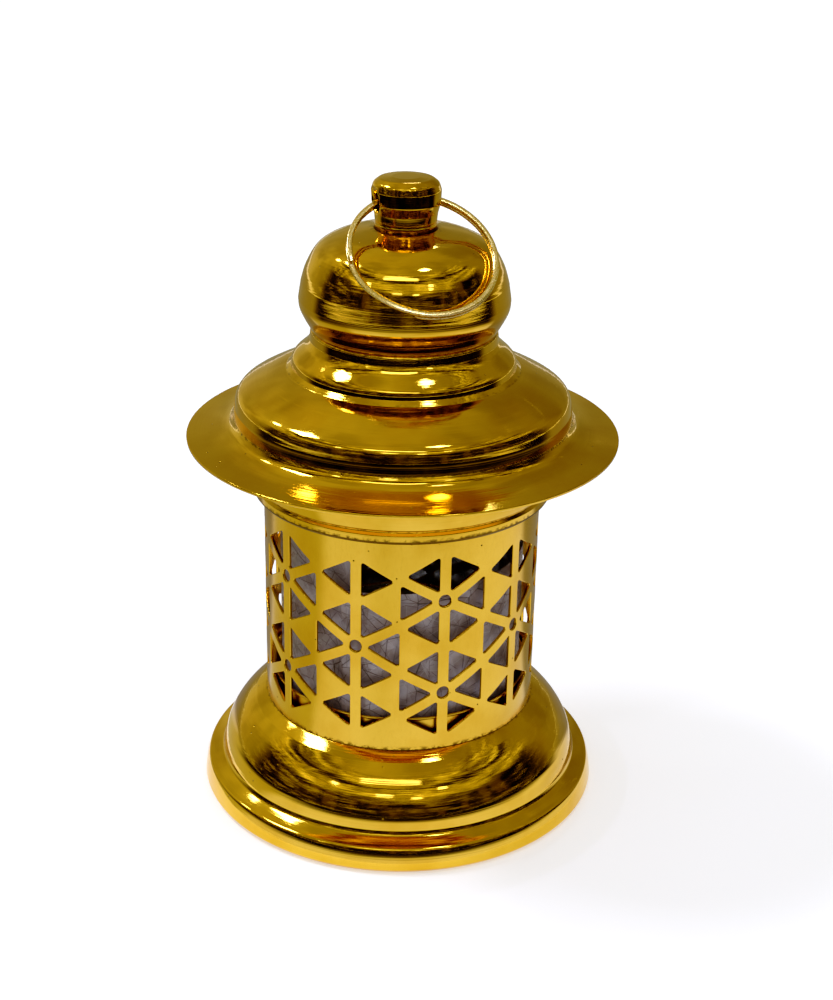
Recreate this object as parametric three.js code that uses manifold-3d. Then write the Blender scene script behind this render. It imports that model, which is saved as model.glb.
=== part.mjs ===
// Hanging candle lantern of spun and rolled gold plated metal.
//
// A bell shaped base carries a round pierced screen. A translucent liner stands inside the
// screen, in a candle cup that is screwed to the base. The hood (collar, roof, dome and knob)
// slips over the top of the screen and lifts off to reach the tealight. A split ring hangs
// through the knob.
//
// Millimetres, +Z up, front towards -Y. The origin is the centre of the foot's underside.

import * as THREE from 'three';
import { mergeVertices } from 'three/addons/utils/BufferGeometryUtils.js';
import Module from 'manifold-3d';

const wasm = await Module();
wasm.setup();

// ---------------------------------------------------------------- driving dimensions

const FACETS = 28; // facets round a spun part
const SHEET = 0.7; // spun and rolled sheet
const THIN_SHEET = 0.5; // pressed candle cup

const FOOT_RADIUS = 43.3;
const DECK_TOP = 21.0; // flat deck that the screen stands on
const DISH_DEPTH = 1.6; // dished centre of the deck, for the cup's screw

const SCREEN_RADIUS = 29.2;
const SCREEN_TOP = 91.6; // the roof rests here
const SCREEN_FACETS = 40;
const SEAM_AZIMUTH = 180; // degrees from the front, towards +X
const SEAM_SLIT = 0.3;

const COLUMNS = 10; // wheels of six cut sectors, in columns round the screen
const WHEEL_HEIGHT = 21.0;
const PATTERN_MIDDLE = 44.6;
const SPOKE = 2.25; // metal left between two cut sectors of a wheel
const SECTOR_DEPTH = 6.8; // a sector's tip to its outer side
const HUB_RADIUS = 1.3;

const CUP_RADIUS = 27.6;
const CUP_RIM = 28.0;

const LINER_RADIUS = 26.5;
const LINER_SHEET = 0.35;
const LINER_SEAM = -27; // azimuth of the liner's visible edge, degrees
const LINER_LOW = 55.2;
const LINER_HIGH = 62.2;

const COLLAR_LIP = 68.9;
const COLLAR_BORE = 30.0;

const BRIM_RADIUS = 45.0;
const BRIM_EDGE = 81.2;
const NECK_TOP = 103.5; // flat top of the roof, under the dome
const DOME_TOP = 124.3; // flat seat of the knob
const KNOB_TOP = 134.6;
const KNOB_RADIUS = 7.05;

const HOLE_HEIGHT = 129.8; // cross hole of the knob
const HOLE_RADIUS = 2.1;
const HOLE_TURN = 18; // the cross hole's direction from +X towards +Y, degrees

const RING_RADIUS = 14.6; // middle of the wire
const RING_TILT = 36.8; // the ring's slope below the horizontal, degrees
const RING_SAG = 0.8; // the wire's middle lies this far above the hole's axis
const WIRE_WIDTH = 1.1;
const WIRE_HEIGHT = 0.62;
const COIL_PITCH = 0.92;

const TEALIGHT_RADIUS = 19.0;
const TEALIGHT_HEIGHT = 15.0;
const FOIL = 0.35;

const rad = THREE.MathUtils.degToRad;

// ---------------------------------------------------------------- materials

function metal(color, roughness, metalness = 1) {
  return new THREE.MeshStandardMaterial({ color, roughness, metalness });
}

const gold = () => metal(0xd9ab3a, 0.12);
const steel = () => metal(0xb9b6ae, 0.35);
const aluminium = () => metal(0xd3d4d6, 0.3);
const mica = () => metal(0x9a8f92, 0.45, 0);
const wax = () => metal(0xf1ecdf, 0.55, 0);
const cotton = () => metal(0xe9e3d4, 0.9, 0);

// ---------------------------------------------------------------- outlines and solids

function points(list) {
  return list.map(([r, z]) => new THREE.Vector2(r, z));
}

// A smooth line through the given points, in equal steps.
function smooth(list, steps) {
  return new THREE.SplineCurve(points(list)).getPoints(steps);
}

function leftNormal(from, to) {
  const along = to.clone().sub(from).normalize();
  return new THREE.Vector2(-along.y, along.x);
}

// The section of a sheet: the line is one face, and the other lies to its left.
function sheetSection(line, thickness) {
  const other = line.map((point, i) => {
    const first = i > 0 ? leftNormal(line[i - 1], point) : leftNormal(point, line[i + 1]);
    const second = i < line.length - 1 ? leftNormal(point, line[i + 1]) : first;
    const normal = first.clone().add(second).normalize();
    const reach = thickness / Math.max(normal.dot(first), 0.6);
    return point.clone().addScaledVector(normal, reach);
  });
  return [...line, ...other.reverse()];
}

// A section turned about +Z. An open section starts and ends on the axis.
function spin(section, facets = FACETS) {
  const line = THREE.ShapeUtils.area(section) < 0 ? [...section].reverse() : [...section];
  const onAxis = Math.abs(line[0].x) < 1e-6;
  const closed = onAxis ? line : [...line, line[0].clone()];
  const geometry = new THREE.LatheGeometry(closed, facets);
  return geometry.rotateX(Math.PI / 2);
}

function toSolid(geometry) {
  const bare = geometry.index ? geometry.toNonIndexed() : geometry.clone();
  bare.deleteAttribute('normal');
  bare.deleteAttribute('uv');
  const merged = mergeVertices(bare, 1e-4);
  const triangles = [];
  const index = merged.index.array;
  for (let i = 0; i < index.length; i += 3) {
    const [a, b, c] = [index[i], index[i + 1], index[i + 2]];
    if (a !== b && b !== c && c !== a) triangles.push(a, b, c);
  }
  return new wasm.Manifold(
    new wasm.Mesh({
      numProp: 3,
      vertProperties: new Float32Array(merged.attributes.position.array),
      triVerts: new Uint32Array(triangles),
    }),
  );
}

function toGeometry(solid) {
  const mesh = solid.getMesh();
  const geometry = new THREE.BufferGeometry();
  geometry.setAttribute('position', new THREE.BufferAttribute(mesh.vertProperties, 3));
  geometry.setIndex(new THREE.BufferAttribute(mesh.triVerts, 1));
  geometry.computeVertexNormals();
  return geometry;
}

// A cylinder along +Z from one height to another.
function pillar(radius, low, high, facets) {
  const geometry = new THREE.CylinderGeometry(radius, radius, high - low, facets);
  geometry.rotateX(Math.PI / 2);
  return geometry.translate(0, 0, (low + high) / 2);
}

// Local X along the screen, local Y up and local Z outwards, at an azimuth from the front.
function screenPlacement(azimuth, radius, height) {
  const along = new THREE.Vector3(Math.cos(azimuth), Math.sin(azimuth), 0);
  const up = new THREE.Vector3(0, 0, 1);
  const out = new THREE.Vector3(Math.sin(azimuth), -Math.cos(azimuth), 0);
  const matrix = new THREE.Matrix4().makeBasis(along, up, out);
  matrix.setPosition(out.clone().multiplyScalar(radius).setZ(height));
  return matrix;
}

const lantern = new THREE.Group();

function addPart(parent, name, geometry, material) {
  const mesh = new THREE.Mesh(geometry, material);
  mesh.name = name;
  parent.add(mesh);
  return mesh;
}

// ---------------------------------------------------------------- base

// Foot with a turned-in rim, a step, a bell shaped shoulder and a flat, dished deck.
function baseShell() {
  const line = [
    ...points([
      [39.6, 0],
      [FOOT_RADIUS - 1.0, 0],
      [FOOT_RADIUS, 1.1],
      [42.9, 3.6],
      [42.3, 5.4],
      [40.9, 5.9],
      [39.2, 6.8],
    ]),
    ...smooth(
      [[38.9, 7.6], [38.5, 9.8], [37.7, 12.1], [36.1, 14.8], [33.9, 17.4], [31.4, 19.5]],
      5,
    ),
    ...points([
      [29.9, 20.5],
      [29.0, DECK_TOP],
      [8.8, DECK_TOP],
      [7.8, DECK_TOP - DISH_DEPTH],
      [1.8, DECK_TOP - DISH_DEPTH],
    ]),
  ];
  return spin(sheetSection(line, SHEET));
}

// ---------------------------------------------------------------- pierced screen

// The wheels of one column: heights of the hubs, and which of the six sectors are cut.
function wheelsOfColumn(column) {
  const all = [0, 60, 120, 180, 240, 300];
  if (column % 2 === 0) {
    return [
      { height: PATTERN_MIDDLE + WHEEL_HEIGHT / 2, sectors: all, hub: true },
      { height: PATTERN_MIDDLE - WHEEL_HEIGHT / 2, sectors: all, hub: true },
    ];
  }
  return [
    { height: PATTERN_MIDDLE + WHEEL_HEIGHT, sectors: [240, 300], hub: false },
    { height: PATTERN_MIDDLE, sectors: all, hub: true },
    { height: PATTERN_MIDDLE - WHEEL_HEIGHT, sectors: [60, 120], hub: false },
  ];
}

// A sector is a triangle whose tip points at the hub, with a spoke on either side.
function sectorCutter(columnAzimuth, hubHeight, direction) {
  const stretch = (SCREEN_RADIUS * 2 * Math.PI) / COLUMNS / (WHEEL_HEIGHT * Math.cos(rad(30)));
  const corner = (SECTOR_DEPTH * 2) / 3;
  const centre = SPOKE + corner;
  const shape = new THREE.Shape(
    [180, 300, 60].map((angle) => {
      const turn = rad(angle + direction);
      return new THREE.Vector2(corner * Math.cos(turn) * stretch, corner * Math.sin(turn));
    }),
  );
  const cutter = new THREE.ExtrudeGeometry(shape, { depth: 6, bevelEnabled: false, steps: 1 });
  const across = centre * Math.cos(rad(direction)) * stretch;
  const azimuth = columnAzimuth + across / SCREEN_RADIUS;
  const height = hubHeight + centre * Math.sin(rad(direction));
  return cutter.applyMatrix4(screenPlacement(azimuth, SCREEN_RADIUS - 3, height));
}

function hubCutter(azimuth, height) {
  const cutter = new THREE.CylinderGeometry(HUB_RADIUS, HUB_RADIUS, 6, 6);
  cutter.rotateX(Math.PI / 2);
  return cutter.applyMatrix4(screenPlacement(azimuth, SCREEN_RADIUS, height));
}

function piercedScreen() {
  const inner = SCREEN_RADIUS - SHEET;
  let screen = toSolid(
    spin(
      points([
        [inner, DECK_TOP],
        [SCREEN_RADIUS, DECK_TOP],
        [SCREEN_RADIUS, SCREEN_TOP],
        [inner, SCREEN_TOP],
      ]),
      SCREEN_FACETS,
    ),
  );
  for (let column = 0; column < COLUMNS; column += 1) {
    const azimuth = rad((360 / COLUMNS) * (column + 0.5));
    for (const wheel of wheelsOfColumn(column)) {
      for (const direction of wheel.sectors) {
        screen = screen.subtract(toSolid(sectorCutter(azimuth, wheel.height, direction)));
      }
      if (wheel.hub) screen = screen.subtract(toSolid(hubCutter(azimuth, wheel.height)));
    }
  }
  const slit = new THREE.BoxGeometry(SEAM_SLIT, 80, 6);
  const middle = (DECK_TOP + SCREEN_TOP) / 2;
  slit.applyMatrix4(screenPlacement(rad(SEAM_AZIMUTH), SCREEN_RADIUS, middle));
  return toGeometry(screen.subtract(toSolid(slit)));
}

// Flat strip soldered behind the screen's butted edges, above the candle cup.
function seamStrip() {
  const width = 4.6;
  const low = CUP_RIM + 0.6;
  const high = SCREEN_TOP - 1.6;
  const strip = new THREE.BoxGeometry(width, high - low, 0.5);
  const face = (SCREEN_RADIUS - SHEET) * Math.cos(Math.asin(width / 2 / SCREEN_RADIUS));
  const radius = face - 0.15 - 0.25;
  return strip.applyMatrix4(screenPlacement(rad(SEAM_AZIMUTH), radius, (low + high) / 2));
}

// ---------------------------------------------------------------- candle cup and liner

function candleCup() {
  const line = points([
    [1.8, DECK_TOP - DISH_DEPTH],
    [7.1, DECK_TOP - DISH_DEPTH],
    [8.1, DECK_TOP],
    [CUP_RADIUS - 0.7, DECK_TOP],
    [CUP_RADIUS, DECK_TOP + 0.8],
    [CUP_RADIUS, CUP_RIM - 0.7],
    [CUP_RADIUS + 0.55, CUP_RIM - 0.4],
    [CUP_RADIUS + 0.45, CUP_RIM],
  ]);
  return spin(sheetSection(line, THIN_SHEET));
}

// A strip rolled into a tube with lapped ends. Its top edge rises all the way round, so it
// steps up where the ends lap.
function micaLiner() {
  const steps = 48;
  const lap = 8;
  const bottom = DECK_TOP + THIN_SHEET;
  const creep = 0.75;
  const outer = [];
  const inner = [];
  for (let i = 0; i <= steps; i += 1) {
    const share = i / steps;
    const angle = rad(LINER_SEAM + share * (360 + lap));
    const radius = LINER_RADIUS - creep * share;
    outer.push(new THREE.Vector2(radius * Math.sin(angle), -radius * Math.cos(angle)));
    const back = radius - LINER_SHEET;
    inner.push(new THREE.Vector2(back * Math.sin(angle), -back * Math.cos(angle)));
  }
  const outline = new THREE.Shape([...outer, ...inner.reverse()]);
  const geometry = new THREE.ExtrudeGeometry(outline, { depth: 1, bevelEnabled: false, steps: 1 });
  const place = geometry.attributes.position;
  for (let i = 0; i < place.count; i += 1) {
    const radius = Math.hypot(place.getX(i), place.getY(i));
    const turn = Math.atan2(place.getX(i), -place.getY(i)) - rad(LINER_SEAM);
    let share = THREE.MathUtils.euclideanModulo(turn, 2 * Math.PI) / rad(360 + lap);
    const nearSeam = Math.min(share, 1 - share) < 0.03;
    if (nearSeam) share = radius > LINER_RADIUS - creep / 2 - LINER_SHEET / 2 ? 0 : 1;
    const top = LINER_LOW + (LINER_HIGH - LINER_LOW) * share;
    place.setZ(i, place.getZ(i) > 0.5 ? top : bottom);
  }
  return geometry;
}

// ---------------------------------------------------------------- fasteners

// Pan head screw with its seat at a height; a positive direction points its head up.
function panScrew(shank, head, headHeight, length, seat, direction) {
  const top = seat + direction * headHeight;
  const tip = seat - direction * length;
  return spin(
    points([
      [0, top],
      [head * 0.7, top],
      [head, top - direction * headHeight * 0.4],
      [head, seat],
      [shank, seat],
      [shank, tip + direction * 0.5],
      [shank - 0.4, tip],
      [0, tip],
    ]),
    16,
  );
}

function washer(bore, radius, low, high) {
  return spin(points([[bore, low], [radius, low], [radius, high], [bore, high]]), 20);
}

function hexNut(bore, flats, low, high) {
  const outline = new THREE.Shape();
  const corner = flats / 2 / Math.cos(rad(30));
  for (let i = 0; i < 6; i += 1) {
    const x = corner * Math.cos(rad(60 * i));
    const y = corner * Math.sin(rad(60 * i));
    if (i === 0) outline.moveTo(x, y);
    else outline.lineTo(x, y);
  }
  outline.closePath();
  const hole = new THREE.Path();
  hole.absarc(0, 0, bore, 0, 2 * Math.PI, true);
  outline.holes.push(hole);
  const geometry = new THREE.ExtrudeGeometry(outline, {
    depth: high - low,
    bevelEnabled: false,
    steps: 1,
    curveSegments: 12,
  });
  return geometry.translate(0, 0, low);
}

// ---------------------------------------------------------------- hood

// Beaded lip, a groove, a flaring band and a flange soldered under the brim.
function collarRing() {
  const lip = COLLAR_LIP;
  return spin(
    points([
      [COLLAR_BORE + 0.3, lip],
      [31.2, lip],
      [31.5, lip + 0.5],
      [31.5, lip + 1.9],
      [31.0, lip + 2.6],
      [31.7, lip + 3.2],
      [32.2, lip + 4.9],
      [32.8, lip + 8.0],
      [33.5, lip + 10.3],
      [35.0, lip + 11.5],
      [39.0, lip + 11.7],
      [39.0, lip + 12.3],
      [34.8, lip + 12.1],
      [32.9, lip + 10.6],
      [32.2, lip + 8.0],
      [31.6, lip + 5.0],
      [30.6, lip + 3.6],
      [COLLAR_BORE, lip + 2.2],
      [COLLAR_BORE, lip + 0.4],
    ]),
  );
}

// Brim, a low wall, a round shoulder, an upper step and a neck closed by a flat top.
function roofCanopy() {
  const line = [
    ...smooth([[BRIM_RADIUS, BRIM_EDGE], [40.0, 82.0], [36.4, 83.2], [35.1, 84.9]], 3),
    ...smooth([[35.0, 87.4], [34.3, 89.7], [32.3, 91.3], [27.4, 93.8], [24.2, 95.0]], 5),
    ...smooth([[23.2, 95.9], [22.8, 97.6], [20.4, 99.9], [19.4, 101.4]], 4),
    ...points([
      [19.2, NECK_TOP - 0.4],
      [18.8, NECK_TOP],
      [2.3, NECK_TOP],
    ]),
  ];
  return spin(sheetSection(line, SHEET));
}

// Onion shaped cap whose lower edge is turned in to sit on the neck.
function domeCap() {
  const line = [
    ...points([[13.0, NECK_TOP], [19.0, NECK_TOP]]),
    ...smooth([[19.3, 104.1], [20.5, 106.2], [21.4, 108.2], [21.6, 110.0]], 3),
    ...smooth([[21.1, 113.2], [20.0, 116.7], [17.6, 120.5], [13.4, 122.8], [9.0, 123.8]], 5),
    ...points([
      [6.6, DOME_TOP],
      [3.7, DOME_TOP],
    ]),
  ];
  return spin(sheetSection(line, SHEET));
}

// Turned knob with a spigot and a tapped hole below, and a cross hole for the ring.
function finialKnob() {
  const body = spin(
    points([
      [0, 127.0],
      [2.05, 127.0],
      [2.05, DOME_TOP - 5.5],
      [3.4, DOME_TOP - 5.5],
      [3.4, DOME_TOP],
      [6.4, DOME_TOP],
      [6.2, DOME_TOP + 1.2],
      [6.4, DOME_TOP + 3.2],
      [6.95, DOME_TOP + 5.2],
      [KNOB_RADIUS, KNOB_TOP - 2.6],
      [6.6, KNOB_TOP - 1.1],
      [5.4, KNOB_TOP - 0.25],
      [2.8, KNOB_TOP],
      [0, KNOB_TOP],
    ]),
    24,
  );
  const hole = new THREE.CylinderGeometry(HOLE_RADIUS, HOLE_RADIUS, 20, 20);
  hole.rotateZ(Math.PI / 2);
  hole.rotateZ(rad(HOLE_TURN));
  hole.translate(0, 0, HOLE_HEIGHT);
  return toGeometry(toSolid(body).subtract(toSolid(hole)));
}

// ---------------------------------------------------------------- hang ring

// Middle line of the wire: a lower coil, a step up, and an upper coil that ends at the step.
class SplitCoil extends THREE.Curve {
  getPoint(share, target = new THREE.Vector3()) {
    const stepStart = 298;
    const stepEnd = 350;
    const degrees = share * (360 + stepStart - 6);
    const rise = THREE.MathUtils.smoothstep(degrees, stepStart, stepEnd);
    const angle = rad(degrees);
    return target.set(
      RING_RADIUS * Math.cos(angle),
      RING_RADIUS * Math.sin(angle),
      (rise - 0.5) * COIL_PITCH,
    );
  }
}

// The coil lies flat about the origin; its start is turned to the given angle in the ring.
function splitRing(start) {
  const section = new THREE.Shape(
    points([
      [-WIRE_HEIGHT / 2, -WIRE_WIDTH / 2],
      [WIRE_HEIGHT / 2, -WIRE_WIDTH / 2],
      [WIRE_HEIGHT / 2, WIRE_WIDTH / 2],
      [-WIRE_HEIGHT / 2, WIRE_WIDTH / 2],
    ]),
  );
  const geometry = new THREE.ExtrudeGeometry(section, {
    steps: 66,
    bevelEnabled: false,
    extrudePath: new SplitCoil(),
  });
  return geometry.rotateZ(rad(start));
}

// ---------------------------------------------------------------- tealight

function tealightCup(bottom) {
  const line = points([
    [0, bottom],
    [TEALIGHT_RADIUS - 1.1, bottom],
    [TEALIGHT_RADIUS - 0.5, bottom + 0.6],
    [TEALIGHT_RADIUS, bottom + TEALIGHT_HEIGHT - 0.4],
    [TEALIGHT_RADIUS + 0.5, bottom + TEALIGHT_HEIGHT],
  ]);
  const section = sheetSection(line, FOIL);
  section[section.length - 1].x = 0;
  return spin(section, 32);
}

function tealightWax(bottom, top) {
  return spin(
    points([
      [1.5, bottom],
      [TEALIGHT_RADIUS - 1.3, bottom],
      [TEALIGHT_RADIUS - 0.8, top],
      [0.8, top - 0.6],
      [0.8, bottom + 3.4],
      [1.5, bottom + 3.4],
    ]),
    32,
  );
}

function wickSustainer(bottom) {
  return spin(
    points([
      [0, bottom],
      [6.0, bottom],
      [6.0, bottom + 0.25],
      [1.3, bottom + 0.25],
      [1.3, bottom + 3.0],
      [0.75, bottom + 3.0],
      [0.75, bottom + 0.4],
      [0, bottom + 0.4],
    ]),
    16,
  );
}

// ---------------------------------------------------------------- assembly

function buildBase() {
  const base = new THREE.Group();
  const seat = DECK_TOP - DISH_DEPTH;
  const underside = seat - SHEET;
  addPart(base, 'base_shell', baseShell(), gold());
  addPart(base, 'pierced_screen', piercedScreen(), gold());
  addPart(base, 'screen_seam_strip', seamStrip(), gold());
  addPart(base, 'candle_cup', candleCup(), gold());
  addPart(base, 'mica_liner', micaLiner(), mica());
  const headSeat = seat + THIN_SHEET;
  addPart(base, 'cup_screw', panScrew(1.45, 2.8, 1.4, 8, headSeat, 1), steel());
  addPart(base, 'cup_washer', washer(1.6, 3.5, underside - 0.6, underside), steel());
  addPart(base, 'cup_nut', hexNut(1.5, 5.5, underside - 3.0, underside - 0.6), steel());
  return base;
}

function buildHood() {
  const hood = new THREE.Group();
  const underside = NECK_TOP - SHEET;
  addPart(hood, 'collar_ring', collarRing(), gold());
  addPart(hood, 'roof_canopy', roofCanopy(), gold());
  addPart(hood, 'dome_cap', domeCap(), gold());
  addPart(hood, 'finial_knob', finialKnob(), gold());
  addPart(hood, 'hood_washer', washer(2.2, 6.0, underside - 1.0, underside), steel());
  addPart(hood, 'hood_screw', panScrew(1.95, 3.8, 2.4, 24.6, underside - 1.0, -1), steel());
  return hood;
}

// The ring leans on the front of the dome and passes through the knob's cross hole.
function buildRing() {
  const hinge = new THREE.Group();
  hinge.position.set(0, 0, HOLE_HEIGHT);
  hinge.rotation.set(rad(RING_TILT), 0, rad(HOLE_TURN), 'ZYX');
  const ring = addPart(hinge, 'hang_ring', splitRing(250), gold());
  ring.position.set(0, -(RING_RADIUS - RING_SAG), 0);
  return hinge;
}

function buildTealight() {
  const tealight = new THREE.Group();
  const bottom = DECK_TOP + THIN_SHEET;
  const floor = bottom + FOIL;
  const waxTop = bottom + TEALIGHT_HEIGHT - 1.6;
  addPart(tealight, 'tealight_cup', tealightCup(bottom), aluminium());
  addPart(tealight, 'wick_sustainer', wickSustainer(floor), steel());
  addPart(tealight, 'tealight_wax', tealightWax(floor + 0.3, waxTop), wax());
  addPart(tealight, 'wick', pillar(0.7, floor + 0.45, waxTop + 6, 8), cotton());
  return tealight;
}

lantern.add(buildBase(), buildHood(), buildRing(), buildTealight());

export default lantern;
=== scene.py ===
"""Hanging candle lantern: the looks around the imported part.

Every piece is rebuilt as a fine mesh on the outline of its own solid: spun sheets are turned with
rounded bends and edges, the screen is pierced and rolled, the split ring is a swept wire, and the
liner is a creased sheet. Outlines are (radius, height) in millimetres, and meshes are in metres.
Azimuths are counted from the front (-Y) towards +X.
"""

import math

import bpy
from mathutils import Matrix, Vector, noise
from mathutils.geometry import delaunay_2d_cdt


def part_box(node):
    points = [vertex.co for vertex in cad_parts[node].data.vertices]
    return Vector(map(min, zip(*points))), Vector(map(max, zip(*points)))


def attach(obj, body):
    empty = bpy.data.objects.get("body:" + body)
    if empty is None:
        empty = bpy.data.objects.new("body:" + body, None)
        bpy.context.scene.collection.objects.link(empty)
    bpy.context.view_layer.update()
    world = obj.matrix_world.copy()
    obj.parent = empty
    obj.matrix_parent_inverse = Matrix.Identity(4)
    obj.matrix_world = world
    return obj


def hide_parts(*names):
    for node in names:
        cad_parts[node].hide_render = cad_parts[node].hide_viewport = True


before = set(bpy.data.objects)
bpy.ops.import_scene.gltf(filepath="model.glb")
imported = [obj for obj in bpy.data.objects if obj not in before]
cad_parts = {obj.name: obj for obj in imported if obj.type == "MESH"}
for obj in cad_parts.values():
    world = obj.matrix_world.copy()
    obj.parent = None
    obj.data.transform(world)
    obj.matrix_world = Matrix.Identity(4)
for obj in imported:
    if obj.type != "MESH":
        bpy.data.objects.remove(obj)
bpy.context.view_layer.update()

MM = 0.001


def low(node):
    """Lowest height of a node, in millimetres."""
    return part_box(node)[0].z / MM


def high(node):
    """Highest height of a node, in millimetres."""
    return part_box(node)[1].z / MM


def reach(node):
    """Largest radius of a round node, in millimetres."""
    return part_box(node)[1].x / MM


# ---- driving sizes, millimetres

DECK = low("pierced_screen")
SCREEN_TOP = high("pierced_screen")
SCREEN_RADIUS = reach("pierced_screen")
FOOT_RADIUS = reach("base_shell")
CUP_FLOOR = low("candle_cup")
CUP_RIM = high("candle_cup")
LINER_LOW = low("mica_liner")
LIP = low("collar_ring")
BRIM_RADIUS = reach("roof_canopy")
NECK_TOP = high("roof_canopy")
DOME_TOP = high("dome_cap")
KNOB_TOP = high("finial_knob")
TEALIGHT_LOW = low("tealight_cup")
TEALIGHT_TOP = high("tealight_cup")

SHEET = 0.7
THIN_SHEET = 0.5
EDGE = 0.22  # rounding of a sheet's cut edge
BEND = 0.9  # rounding of a spun bend
TURN_STEPS = 192

COLUMNS = 10
WHEEL_HEIGHT = 21.0
PATTERN_MIDDLE = 44.6
SPOKE = 2.25
SECTOR_DEPTH = 6.8
HUB_RADIUS = 1.3
CORNER_RADIUS = 0.42
SEAM_SLIT = 0.3
SEAM_AZIMUTH = 180.0

HOLE_HEIGHT = 129.8
HOLE_RADIUS = 2.1
HOLE_TURN = 18.0
RING_RADIUS = 14.6
RING_TILT = 36.8
RING_SAG = 0.8
RING_START = 250.0
WIRE_WIDTH = 1.1
WIRE_HEIGHT = 0.62
COIL_PITCH = 0.92

LINER_RADIUS = 26.5
LINER_CREEP = 0.75  # how far the lapped end lies inside the other
LINER_SHEET = 0.3
LINER_SHORT = 55.2  # height of its top edge at the low end

# ---- camera and light

EYE = (0, -0.3434, 0.2142)  # metres
YAW, PITCH, ROLL = 0.52, 23.48, 1.05  # degrees
LENS = 63.36  # focal length on a sensor 36 mm wide
LAMP_AIM = 0.06  # height that every lamp faces, metres
LAMP_COLOUR = (0.90, 0.95, 1.20)
UNLIT = (0.005, 0.004, 0.001)  # the dark room as the gold mirrors it
DIM = (0.02, 0.017, 0.004)


# ---- outlines

def smooth(line, steps):
    """A smooth line through the given points (uniform Catmull-Rom), in equal steps."""
    last = len(line) - 1
    made = []
    for k in range(steps + 1):
        place = last * k / steps
        i = min(int(place), last - 1)
        t = place - i
        p0, p1 = line[max(i - 1, 0)], line[i]
        p2, p3 = line[i + 1], line[min(i + 2, last)]
        point = []
        for a, b, c, d in zip(p0, p1, p2, p3):
            v0 = (c - a) / 2
            v1 = (d - b) / 2
            cubic = (2 * b - 2 * c + v0 + v1) * t ** 3
            square = (-3 * b + 3 * c - 2 * v0 - v1) * t ** 2
            point.append(cubic + square + v0 * t + b)
        made.append(tuple(point))
    return made


def eased(line, radius, closed=False, steps=5, sharp=10.0):
    """The line with each corner sharper than `sharp` degrees rounded off."""
    count = len(line)
    made = []
    for i, corner in enumerate(line):
        if not closed and i in (0, count - 1):
            made.append(corner)
            continue
        here = Vector(corner)
        back = Vector(line[i - 1]) - here
        ahead = Vector(line[(i + 1) % count]) - here
        turn = math.pi - back.angle(ahead, math.pi)
        if math.degrees(turn) < sharp:
            made.append(corner)
            continue
        cut = radius * math.tan(turn / 2)
        cut = min(cut, 0.45 * back.length, 0.45 * ahead.length)
        start = here + back.normalized() * cut
        end = here + ahead.normalized() * cut
        for k in range(steps + 1):
            t = k / steps
            point = start * (1 - t) ** 2 + here * 2 * t * (1 - t) + end * t ** 2
            made.append(tuple(point))
    return made


def sheet_section(line, thickness, edge=EDGE):
    """Closed section of a sheet: the line is one face and the other lies to its left."""
    other = []
    last = len(line) - 1
    for i, point in enumerate(line):
        before = Vector(point) - Vector(line[i - 1]) if i > 0 else None
        after = Vector(line[i + 1]) - Vector(point) if i < last else None
        first = (before or after).normalized()
        second = (after or before).normalized()
        along = (first + second).normalized()
        normal = Vector((-along.y, along.x))
        share = max(along.dot(first), 0.6)
        other.append(tuple(Vector(point) + normal * thickness / share))
    return eased(line + other[::-1], edge, closed=True, steps=4, sharp=35)


def signed_area(section):
    total = 0.0
    for (r0, z0), (r1, z1) in zip(section, section[1:] + section[:1]):
        total += r0 * z1 - r1 * z0
    return total / 2


def section_normals(section, closed):
    """Normals of a counter-clockwise section, each led by the longer of its two sides."""
    count = len(section)
    made = []
    for i in range(count):
        total = Vector((0, 0))
        for a, b in ((i - 1, i), (i, i + 1)):
            if not closed and (a < 0 or b >= count):
                continue
            side = Vector(section[b % count]) - Vector(section[a % count])
            total += Vector((side.y, -side.x))
        made.append(total.normalized())
    return made


# ---- meshes

def pairs(count):
    """Each number below count with the one that follows it round a loop."""
    return [(k, (k + 1) % count) for k in range(count)]


def walls(first, rows, count):
    """Faces between rows of equal closed loops, whose points start at number first."""
    faces = []
    for a in range(first, first + rows * count, count):
        b = a + count
        faces += [(a + k, a + n, b + n, b + k) for k, n in pairs(count)]
    return faces


def tube(first, rows, count, flip=False):
    """Faces of a tube of equal loops with a cap on each end."""
    last = first + rows * count
    faces = walls(first, rows, count)
    faces.append(tuple(range(first + count - 1, first - 1, -1)))
    faces.append(tuple(range(last, last + count)))
    return [face[::-1] for face in faces] if flip else faces


def rounded_box(half_x, half_y, ease):
    """Outline of a rectangle with rounded corners."""
    shape = []
    for cx, cy, first in ((1, 1, 0), (-1, 1, 90), (-1, -1, 180), (1, -1, 270)):
        for k in range(5):
            angle = math.radians(first + 90 * k / 4)
            x = cx * (half_x - ease) + ease * math.cos(angle)
            shape.append((x, cy * (half_y - ease) + ease * math.sin(angle)))
    return shape


def linked(name, data):
    """An object with the given data, in the scene."""
    obj = bpy.data.objects.new(name, data)
    bpy.context.scene.collection.objects.link(obj)
    return obj


def new_object(name, points, faces, normals=None, values=None):
    """A mesh object from points in millimetres, with values as named point attributes."""
    mesh = bpy.data.meshes.new(name)
    mesh.from_pydata([tuple(c * MM for c in p) for p in points], [], faces)
    mesh.update()
    for key, numbers in (values or {}).items():
        layer = mesh.attributes.new(key, "FLOAT", "POINT")
        layer.data.foreach_set("value", numbers)
    mesh.shade_smooth()
    if normals:
        mesh.normals_split_custom_set_from_vertices(normals)
    return linked(name, mesh)


def finish_piece(obj, body, nodes, material):
    """Puts a piece on its body in place of its CAD nodes, with its material."""
    obj.data.materials.clear()
    obj.data.materials.append(material)
    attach(obj, body)
    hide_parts(*nodes)
    return obj


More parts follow.
